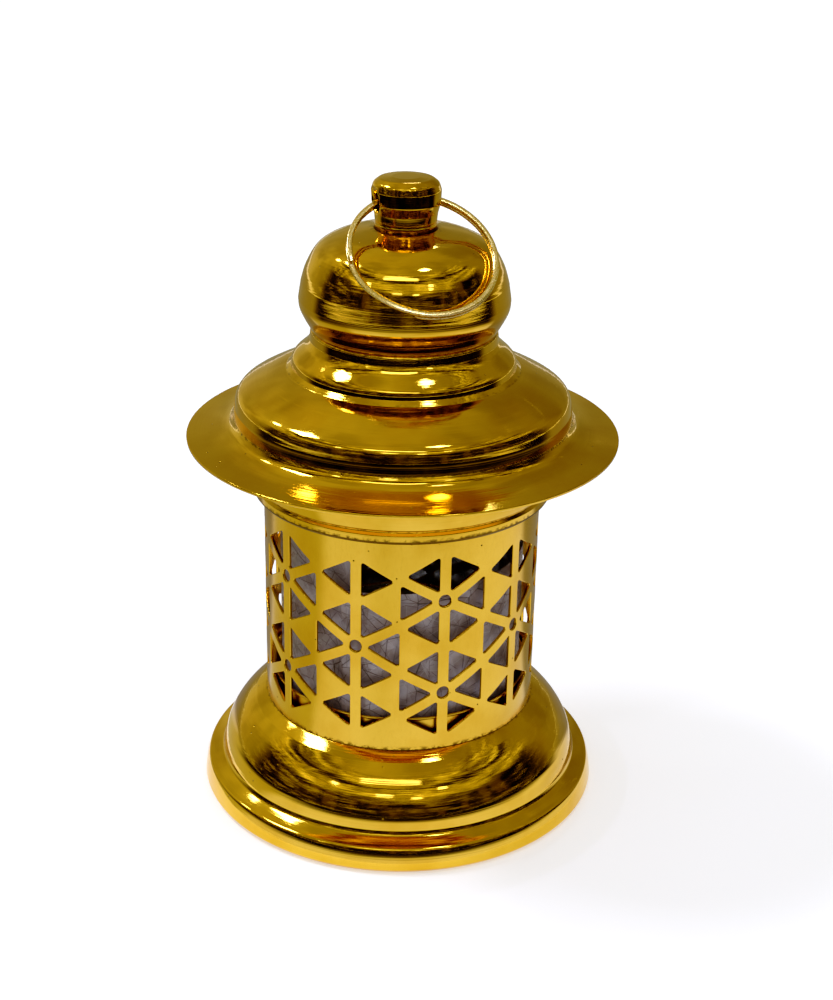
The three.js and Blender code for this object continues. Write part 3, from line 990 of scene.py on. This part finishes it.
def collar_ring(material):
    """Beaded lip, groove, flaring band and a flange under the brim."""
    outside = [
        (30.3, LIP), (31.2, LIP), (31.5, LIP + 0.5), (31.5, LIP + 1.9), (31.0, LIP + 2.6),
        (31.7, LIP + 3.2), (32.2, LIP + 4.9), (32.8, LIP + 8.0), (33.5, LIP + 10.3),
        (35.0, LIP + 11.5), (39.0, LIP + 11.7),
    ]
    inside = [
        (39.0, LIP + 12.3), (34.8, LIP + 12.1), (32.9, LIP + 10.6), (32.2, LIP + 8.0),
        (31.6, LIP + 5.0), (30.6, LIP + 3.6), (30.0, LIP + 2.2), (30.0, LIP + 0.4),
    ]
    section = eased(outside + inside, 0.3, closed=True, steps=6, sharp=6)
    groove = dirt_near([(30.95, LIP + 2.6)], 0.45)

    # Painted shade: the lip is darkened on its underside, fully up to 0.7 mm above its bottom and
    # fading out by 1 mm, as the shadow in the gap over the screen. The groove gets a thin dark
    # line.
    def lip_shade_and_groove_line(r, z):
        return max(min(1.0, (LIP + 1.0 - z) / 0.3), groove(r, z))

    collar = turned("collar_ring_spun", section, lip_shade_and_groove_line)
    return finish_piece(collar, "hood", ["collar_ring"], material)


def roof_canopy(material):
    edge = low("roof_canopy") + SHEET
    outline = smooth([(BRIM_RADIUS, edge), (40.0, 82.0), (36.4, 83.2), (35.1, 84.9)], 18)
    outline += smooth([(35.0, 87.4), (34.3, 89.7), (32.3, 91.3), (27.4, 93.8), (24.2, 95.0)], 26)
    outline += smooth([(23.2, 95.9), (22.8, 97.6), (20.4, 99.9), (19.4, 101.4)], 20)
    outline += [(19.2, NECK_TOP - 0.4), (18.8, NECK_TOP), (2.3, NECK_TOP)]
    section = sheet_section(eased(outline, BEND), SHEET)
    darkening = dirt_near([(35.1, 84.7), (24.0, 95.3), (19.2, 103.3)], 0.6)
    roof = turned("roof_canopy_spun", section, darkening)
    return finish_piece(roof, "hood", ["roof_canopy"], material)


def dome_cap(material):
    outline = [(13.0, NECK_TOP), (19.0, NECK_TOP)]
    outline += smooth([(19.3, 104.1), (20.5, 106.2), (21.4, 108.2), (21.6, 110.0)], 16)
    crown = [(21.1, 113.2), (20.0, 116.7), (17.6, 120.5), (13.4, 122.8), (9.0, 123.8)]
    outline += smooth(crown, 30)
    outline += [(6.6, DOME_TOP), (3.7, DOME_TOP)]
    section = sheet_section(eased(outline, BEND), SHEET)
    darkening = dirt_near([(19.2, 103.6), (6.5, DOME_TOP)], 0.6)
    dome = turned("dome_cap_spun", section, darkening)
    return finish_piece(dome, "hood", ["dome_cap"], material)


def finial_knob(material):
    """Turned knob with a cross hole whose mouths are rounded over."""
    spigot = DOME_TOP - 5.5
    radius = reach("finial_knob")
    outer = [
        (6.4, DOME_TOP), (6.2, DOME_TOP + 1.2), (6.4, DOME_TOP + 3.2), (6.95, DOME_TOP + 5.2),
        (radius, KNOB_TOP - 2.6), (6.6, KNOB_TOP - 1.1), (5.4, KNOB_TOP - 0.25),
        (2.8, KNOB_TOP), (0, KNOB_TOP),
    ]
    inner = [(0, 127.0), (2.05, 127.0), (2.05, spigot), (3.4, spigot), (3.4, DOME_TOP)]
    section = inner + eased(outer, 1.4, steps=8, sharp=4)
    darkening = dirt_near([(6.4, DOME_TOP)], 0.5)
    knob = turned("finial_knob_turned", section, darkening, steps=128)
    half = 9.0
    mouth = []
    for k in range(9):
        angle = math.pi / 2 * k / 8
        mouth.append((HOLE_RADIUS + 0.8 * (1 - math.cos(angle)), 5.6 + 0.8 * math.sin(angle)))
    shape = [(0, -half), (4.5, -half)] + [(r, -z) for r, z in reversed(mouth)]
    shape += mouth + [(4.5, half), (0, half)]
    cutter = turned("hole_cutter", shape, steps=64)
    across = Matrix.Rotation(math.radians(HOLE_TURN), 4, "Z")
    lying = Matrix.Rotation(math.pi / 2, 4, "Y")
    place = Matrix.Translation((0, 0, HOLE_HEIGHT * MM))
    cutter.data.transform(place @ across @ lying)
    cut_with(knob, cutter, sharp=40)
    return finish_piece(knob, "hood", ["finial_knob"], material)


# ---- hang ring

def hang_ring(material):
    """Two coils of flat wire with a step between them."""
    step_start, step_end = 298.0, 350.0
    steps = 360
    shape = rounded_box(WIRE_WIDTH / 2, WIRE_HEIGHT / 2, 0.24)
    points = []
    for i in range(steps + 1):
        degrees = (360 + step_start - 6) * i / steps
        share = min(max((degrees - step_start) / (step_end - step_start), 0), 1)
        rise = share * share * (3 - 2 * share)
        height = (rise - 0.5) * COIL_PITCH
        slim = min(1.0, 0.62 + 0.38 * min(i, steps - i) / 2)
        angle = math.radians(degrees)
        for x, y in shape:
            r = RING_RADIUS + x * slim
            points.append((r * math.cos(angle), r * math.sin(angle), height + y * slim))
    ring = new_object("hang_ring_wire", points, tube(0, steps, len(shape), flip=True))
    ring.data.set_sharp_from_angle(angle=math.radians(50))
    placed = Matrix.Translation((0, 0, HOLE_HEIGHT * MM))
    placed @= Matrix.Rotation(math.radians(HOLE_TURN), 4, "Z")
    placed @= Matrix.Rotation(math.radians(RING_TILT), 4, "X")
    placed @= Matrix.Translation((0, -(RING_RADIUS - RING_SAG) * MM, 0))
    placed @= Matrix.Rotation(math.radians(RING_START), 4, "Z")
    ring.data.transform(placed)
    return finish_piece(ring, "ring", ["hang_ring"], material)


# ---- tealight

def foil_cup(material):
    """Pressed foil with a fluted wall and a rolled lip."""
    bottom, top = TEALIGHT_LOW, TEALIGHT_TOP
    rim = reach("tealight_cup") - 0.15
    outline = [
        (0.0, bottom), (rim - 1.6, bottom), (rim - 1.0, bottom + 0.6), (rim - 0.5, top - 0.9),
        (rim - 0.1, top - 0.5),
    ]
    section = sheet_section(eased(outline, 0.6), 0.3, edge=0.12)
    section = [(max(r, 0.0), z) for r, z in section]

    def flutes(angle, r, z):
        wall = min(1.0, max(0.0, (z - bottom - 1.2) / 2), max(0.0, (top - 1.4 - z) / 1.5))
        return 0.09 * math.sin(72 * angle) * wall if r > rim - 3 else 0.0

    line = []
    for a, b in zip(section, section[1:] + section[:1]):
        parts = max(1, int(math.dist(a, b))) if abs(a[1] - b[1]) > 2 else 1
        line += [tuple(p + (q - p) * k / parts for p, q in zip(a, b)) for k in range(parts)]
    first = max(i for i, p in enumerate(line) if p[0] < 0.2)
    wall = [p for p in line[first:] + line[:first] if p[0] >= 0.2]
    wall = [(0.0, wall[0][1])] + wall + [(0.0, wall[-1][1])]
    cup = turned("tealight_foil_cup", wall, steps=432, wave=flutes)
    cup.data.set_sharp_from_angle(angle=math.radians(60))
    finish_piece(cup, "tealight", ["tealight_cup"], material)


def wax_disc(material):
    """The wax, sunk a little inside its rim and raised where it meets the wick."""
    bottom, top = low("tealight_wax"), high("tealight_wax")
    wide = reach("tealight_wax")
    section = [
        (1.5, bottom), (wide - 0.5, bottom), (wide - 0.05, top - 0.1), (wide - 0.5, top - 0.35),
        (wide - 2.0, top - 0.75), (8.0, top - 0.8), (2.2, top - 0.7), (1.2, top - 0.35),
        (0.8, top - 0.3), (0.8, bottom + 3.4), (1.5, bottom + 3.4),
    ]
    wax = turned("tealight_wax_disc", eased(section, 0.6, closed=True, steps=5, sharp=8))
    finish_piece(wax, "tealight", ["tealight_wax"], material)


def wick_sustainer(material):
    base = low("wick_sustainer")
    section = [
        (0, base), (6.0, base), (6.0, base + 0.25), (1.3, base + 0.25), (1.3, base + 3.0),
        (0.8, base + 3.0), (0.8, base + 0.4), (0, base + 0.4),
    ]
    disc = turned("wick_sustainer_disc", eased(section, 0.1, steps=3), steps=96)
    finish_piece(disc, "tealight", ["wick_sustainer"], material)


def braided_wick(material):
    """Three cotton strands laid round each other, flared a little at the cut end."""
    bottom, top = low("wick"), high("wick")
    strands, sides, rows = 3, 12, 90
    points, faces = [], []
    for strand in range(strands):
        faces += tube(len(points), rows, sides)
        for j in range(rows + 1):
            z = bottom + (top - bottom) * j / rows
            turn = 2 * math.pi * strand / strands + (z - bottom) * 1.9
            lay = 0.30 + max(0.0, (z - top + 1.2) / 1.2) * 0.08
            cx, cy = lay * math.cos(turn), lay * math.sin(turn)
            for k in range(sides):
                angle = 2 * math.pi * k / sides
                thick = 0.31 * (1 + 0.06 * noise.noise(Vector((strand, z * 2, k))))
                points.append((cx + thick * math.cos(angle), cy + thick * math.sin(angle), z))
    wick = new_object("wick_braid", points, faces)
    wick.data.set_sharp_from_angle(angle=math.radians(60))
    finish_piece(wick, "tealight", ["wick"], material)


# ---- stage, light and camera

def floor():
    half = 3000
    corners = [(-half, -half, 0), (half, -half, 0), (half, half, 0), (-half, half, 0)]
    obj = new_object("floor", corners, [(0, 1, 2, 3)])
    material, tree = new_material("pale_floor")
    place, _, away = bearings(tree)
    cloud = grain(tree, place, 9.0, detail=5.0)
    colour = blend(tree, cloud, (0.86, 0.86, 0.855), (0.82, 0.82, 0.815))
    glow = ramp(tree, away, 0.10, 0.90, 0.40, 0.60)
    surface(
        tree, Base_Color=colour, Roughness=0.6, Emission_Color=(1, 1, 1, 1),
        Emission_Strength=glow,
    )
    obj.data.materials.append(material)


def only_reflected(obj):
    """Keeps a studio piece out of sight, except in reflections."""
    for kind in ("camera", "diffuse", "shadow", "transmission", "volume_scatter"):
        setattr(obj, "visible_" + kind, False)


def azimuth(tree, x, y):
    """Degrees from the front (-Y) towards +X."""
    ahead = times(tree, y, -1.0)
    return times(tree, maths(tree, "ARCTAN2", x, ahead), math.degrees(1))


def bearings(tree):
    """A point on the table, its azimuth, and its distance from the axis in metres."""
    place = add(tree, "TexCoord").outputs["Object"]
    x, y, _ = split(tree, place)
    away = vectors(tree, "LENGTH", stretched(tree, place, (1, 1, 0)))
    return place, azimuth(tree, x, y), away


def band(tree, value, middle, half, soft):
    """1 within half of the middle, falling to 0 over the soft edge."""
    off = maths(tree, "ABSOLUTE", maths(tree, "SUBTRACT", value, middle))
    return ramp(tree, off, half + soft / 2, half - soft / 2)


def table_card():
    """What the gold mirrors of the table: pale close by, and dark in front further out."""
    turns, radii = 72, (52, 100, 170, 400, 1700)
    points = []
    for radius in radii:
        for k in range(turns):
            a = 2 * math.pi * k / turns
            points.append((radius * math.sin(a), -radius * math.cos(a), 0.4))
    faces = [face[::-1] for face in walls(0, len(radii) - 1, turns)]
    obj = new_object("table_card", points, faces)
    material, tree = new_material("table_card")
    place, turn, away = bearings(tree)
    cloud = grain(tree, place, 9.0)
    front = band(tree, turn, 0, 106, 18)
    beyond = times(tree, front, ramp(tree, away, 0.215, 0.30))
    close = blend(tree, ramp(tree, cloud, 0.35, 0.65), (0.74, 0.75, 0.85), (0.90, 0.92, 1.25))
    left = times(tree, band(tree, turn, -92, 30, 10), 0.75)
    close = blend(tree, left, close, (0.42, 0.40, 0.10))
    back = maths(tree, "SUBTRACT", 1.0, band(tree, turn, -6, 118, 8))
    close = blend(tree, times(tree, back, 0.85), close, (0.16, 0.14, 0.06))
    edge = maths(tree, "SUBTRACT", 1.0, ramp(tree, away, 0.16, 0.30))
    plain = blend(tree, edge, (0.30, 0.28, 0.17), close)
    grid = joined(tree, times(tree, turn, 0.03), times(tree, away, 7.0), 4.0)
    rows = grain(tree, grid, 1.0, detail=4.0, roughness=0.7)
    far_off = blend(tree, ramp(tree, rows, 0.44, 0.56), UNLIT, (0.035, 0.030, 0.006))
    colour = blend(tree, beyond, plain, far_off)
    # Painted reflection: where the card is seen at a grazing angle, its glow turns to the dark
    # room's colour, as a glossy table would mirror it.
    facing = add(tree, "LayerWeight", {"Blend": 0.5}).outputs["Facing"]
    grazing = times(tree, front, ramp(tree, facing, 0.80, 0.93))
    colour = blend(tree, grazing, colour, far_off)
    glow = add(tree, "Emission", {"Color": colour, "Strength": 1.0})
    add(tree, "OutputMaterial", {"Surface": glow.outputs[0]})
    obj.data.materials.append(material)
    only_reflected(obj)


def lamp(name, side, elevation, distance, width, height, radiance):
    """A rectangular soft light that faces the lantern; side is its azimuth."""
    data = bpy.data.lights.new(name, "AREA")
    data.shape = "RECTANGLE"
    data.size = width
    data.size_y = height
    data.energy = radiance * math.pi * width * height
    data.color = LAMP_COLOUR
    obj = linked(name, data)
    a, e = math.radians(side), math.radians(elevation)
    way = Vector((math.sin(a) * math.cos(e), -math.cos(a) * math.cos(e), math.sin(e)))
    obj.location = way * distance + Vector((0, 0, LAMP_AIM))
    obj.rotation_euler = way.to_track_quat("Z", "Y").to_euler()
    obj.visible_camera = False


def room_seen_in_metal(tree):
    """The room by direction: a dark front with thin lit shelves, lit streaks over it, then haze."""
    way = add(tree, "TexCoord").outputs["Generated"]
    x, y, z = split(tree, way)
    rise = times(tree, maths(tree, "ARCSINE", z), math.degrees(1))
    turn = azimuth(tree, x, y)
    grid = joined(tree, times(tree, turn, 0.020), times(tree, rise, 0.62), 0.0)
    rows = grain(tree, grid, 1.0, detail=5.0, roughness=0.72)
    posts = joined(tree, times(tree, turn, 0.085), times(tree, rise, 0.02), 7.0)
    uprights = grain(tree, posts, 1.0)
    big = grain(tree, way, 1.7)

    dark = blend(tree, ramp(tree, rows, 0.46, 0.54), UNLIT, (0.06, 0.05, 0.01))
    dark = blend(tree, ramp(tree, uprights, 0.54, 0.58, 0.0, 0.85), dark, (0.11, 0.085, 0.02))
    dark = blend(tree, ramp(tree, rows, 0.57, 0.61), dark, (0.80, 0.74, 0.34))
    lit = blend(tree, ramp(tree, rows, 0.44, 0.50), DIM, (0.45, 0.40, 0.14))
    lit = blend(tree, ramp(tree, rows, 0.55, 0.62), lit, (1.9, 1.8, 1.3))
    right = ramp(tree, x, -0.7, 0.8)
    haze = blend(tree, right, (0.56, 0.52, 0.30), (0.27, 0.24, 0.11))
    haze = blend(tree, ramp(tree, big, 0.36, 0.62, 0.0, 0.55), haze, (0.13, 0.11, 0.03))
    haze = blend(tree, ramp(tree, rows, 0.62, 0.70, 0.0, 0.5), haze, (1.0, 0.95, 0.8))

    view = blend(tree, ramp(tree, rise, 25, 31), dark, lit)
    view = blend(tree, band(tree, rise, 43, 2.0, 2), view, DIM)
    view = blend(tree, ramp(tree, rise, 50, 66), view, haze)
    return blend(tree, band(tree, turn, 0, 106, 22), haze, view)


def room():
    """Pale backdrop for the camera, a grey room for matt things, and a furnished one for metal."""
    world = bpy.data.worlds.new("room")
    bpy.context.scene.world = world
    world.use_nodes = True
    tree = world.node_tree
    tree.nodes.clear()
    backdrop = add(tree, "Background", {"Color": (0.97, 0.97, 0.965, 1), "Strength": 1.0})
    grey = add(tree, "Background", {"Color": (1.0, 0.98, 0.95, 1), "Strength": 0.5})
    seen = add(tree, "Background", {"Color": room_seen_in_metal(tree), "Strength": 1.0})
    ray = add(tree, "LightPath")
    shown = grey.outputs[0]
    for kind, sight in (("Glossy", seen), ("Camera", backdrop)):
        sockets = {0: ray.outputs[f"Is {kind} Ray"], 1: shown, 2: sight.outputs[0]}
        shown = add(tree, "MixShader", sockets).outputs[0]
    add(tree, "OutputWorld", {0: shown})


def lights():
    """The lamps, whose places follow from the highlights on the lantern."""
    # name, azimuth, elevation, distance in metres, width, height, radiance
    lamp("window_left", -104, 54, 1.0, 0.24, 0.17, 26)
    lamp("window_left_low", -122, 42, 1.2, 0.10, 0.08, 14)
    lamp("lamp_overhead", 55, 73, 1.0, 0.13, 0.10, 20)
    lamp("window_behind", 176, 43, 1.1, 0.16, 0.09, 12)
    lamp("strip_high", -6, 50, 1.2, 0.70, 0.085, 3.4)
    lamp("strip_low", -9, 32, 1.2, 0.20, 0.045, 3.6)
    lamp("strip_low_right", 13, 29, 1.2, 0.12, 0.05, 3.6)
    lamp("lamp_left", -46, 35, 1.2, 0.08, 0.03, 12)
    lamp("lamp_right", 33, 37, 1.2, 0.10, 0.03, 10)


def deepen_shadows(view):
    """A tone curve with a toe, as small cameras have: dark colours come out richer."""
    view.use_curve_mapping = True
    curve = view.curve_mapping.curves[3]
    for dark, deeper in ((0.012, 0.0015), (0.03, 0.010), (0.07, 0.050), (0.14, 0.135)):
        curve.points.new(dark, deeper)
    view.curve_mapping.update()


def camera():
    """Eye level a little above the lantern, looking down on it."""
    data = bpy.data.cameras.new("camera")
    data.sensor_width = 36.0
    data.lens = LENS
    obj = linked("camera", data)
    yaw, pitch, roll = (math.radians(v) for v in (YAW, PITCH, ROLL))
    level = Vector((math.sin(yaw), math.cos(yaw), 0))
    ahead = level * math.cos(pitch) - Vector((0, 0, math.sin(pitch)))
    right = Vector((math.cos(yaw), -math.sin(yaw), 0))
    up = right.cross(ahead)
    across = right * math.cos(roll) + up * math.sin(roll)
    upright = up * math.cos(roll) - right * math.sin(roll)
    turn = Matrix((across, upright, -ahead)).transposed()
    obj.matrix_world = Matrix.Translation(EYE) @ turn.to_4x4()
    bpy.context.scene.camera = obj
    view = bpy.context.scene.view_settings
    view.view_transform = "Standard"
    view.look = "None"
    deepen_shadows(view)


def build():
    spun = gold_plate("gold_spun", 0.065, 0.022, 0.0026)
    screen = gold_plate("gold_screen", 0.16, 0.030, 0.0010, turned_piece=False)
    steel = zinc_steel()
    base_shell(spun)
    pierced_screen(screen)
    seam_strip(screen)
    candle_cup(gold_plate("gold_satin", 0.30, 0.0060, 0.0020))
    mica_liner(mica_sheet())
    collar_ring(spun)
    roof_canopy(spun)
    dome_cap(spun)
    finial_knob(spun)
    hang_ring(ring_gold())
    fasteners(steel)
    foil_cup(candle_foil())
    wax_disc(candle_wax())
    wick_sustainer(steel)
    braided_wick(wick_cotton())


camera()
build()
floor()
table_card()
room()
lights()
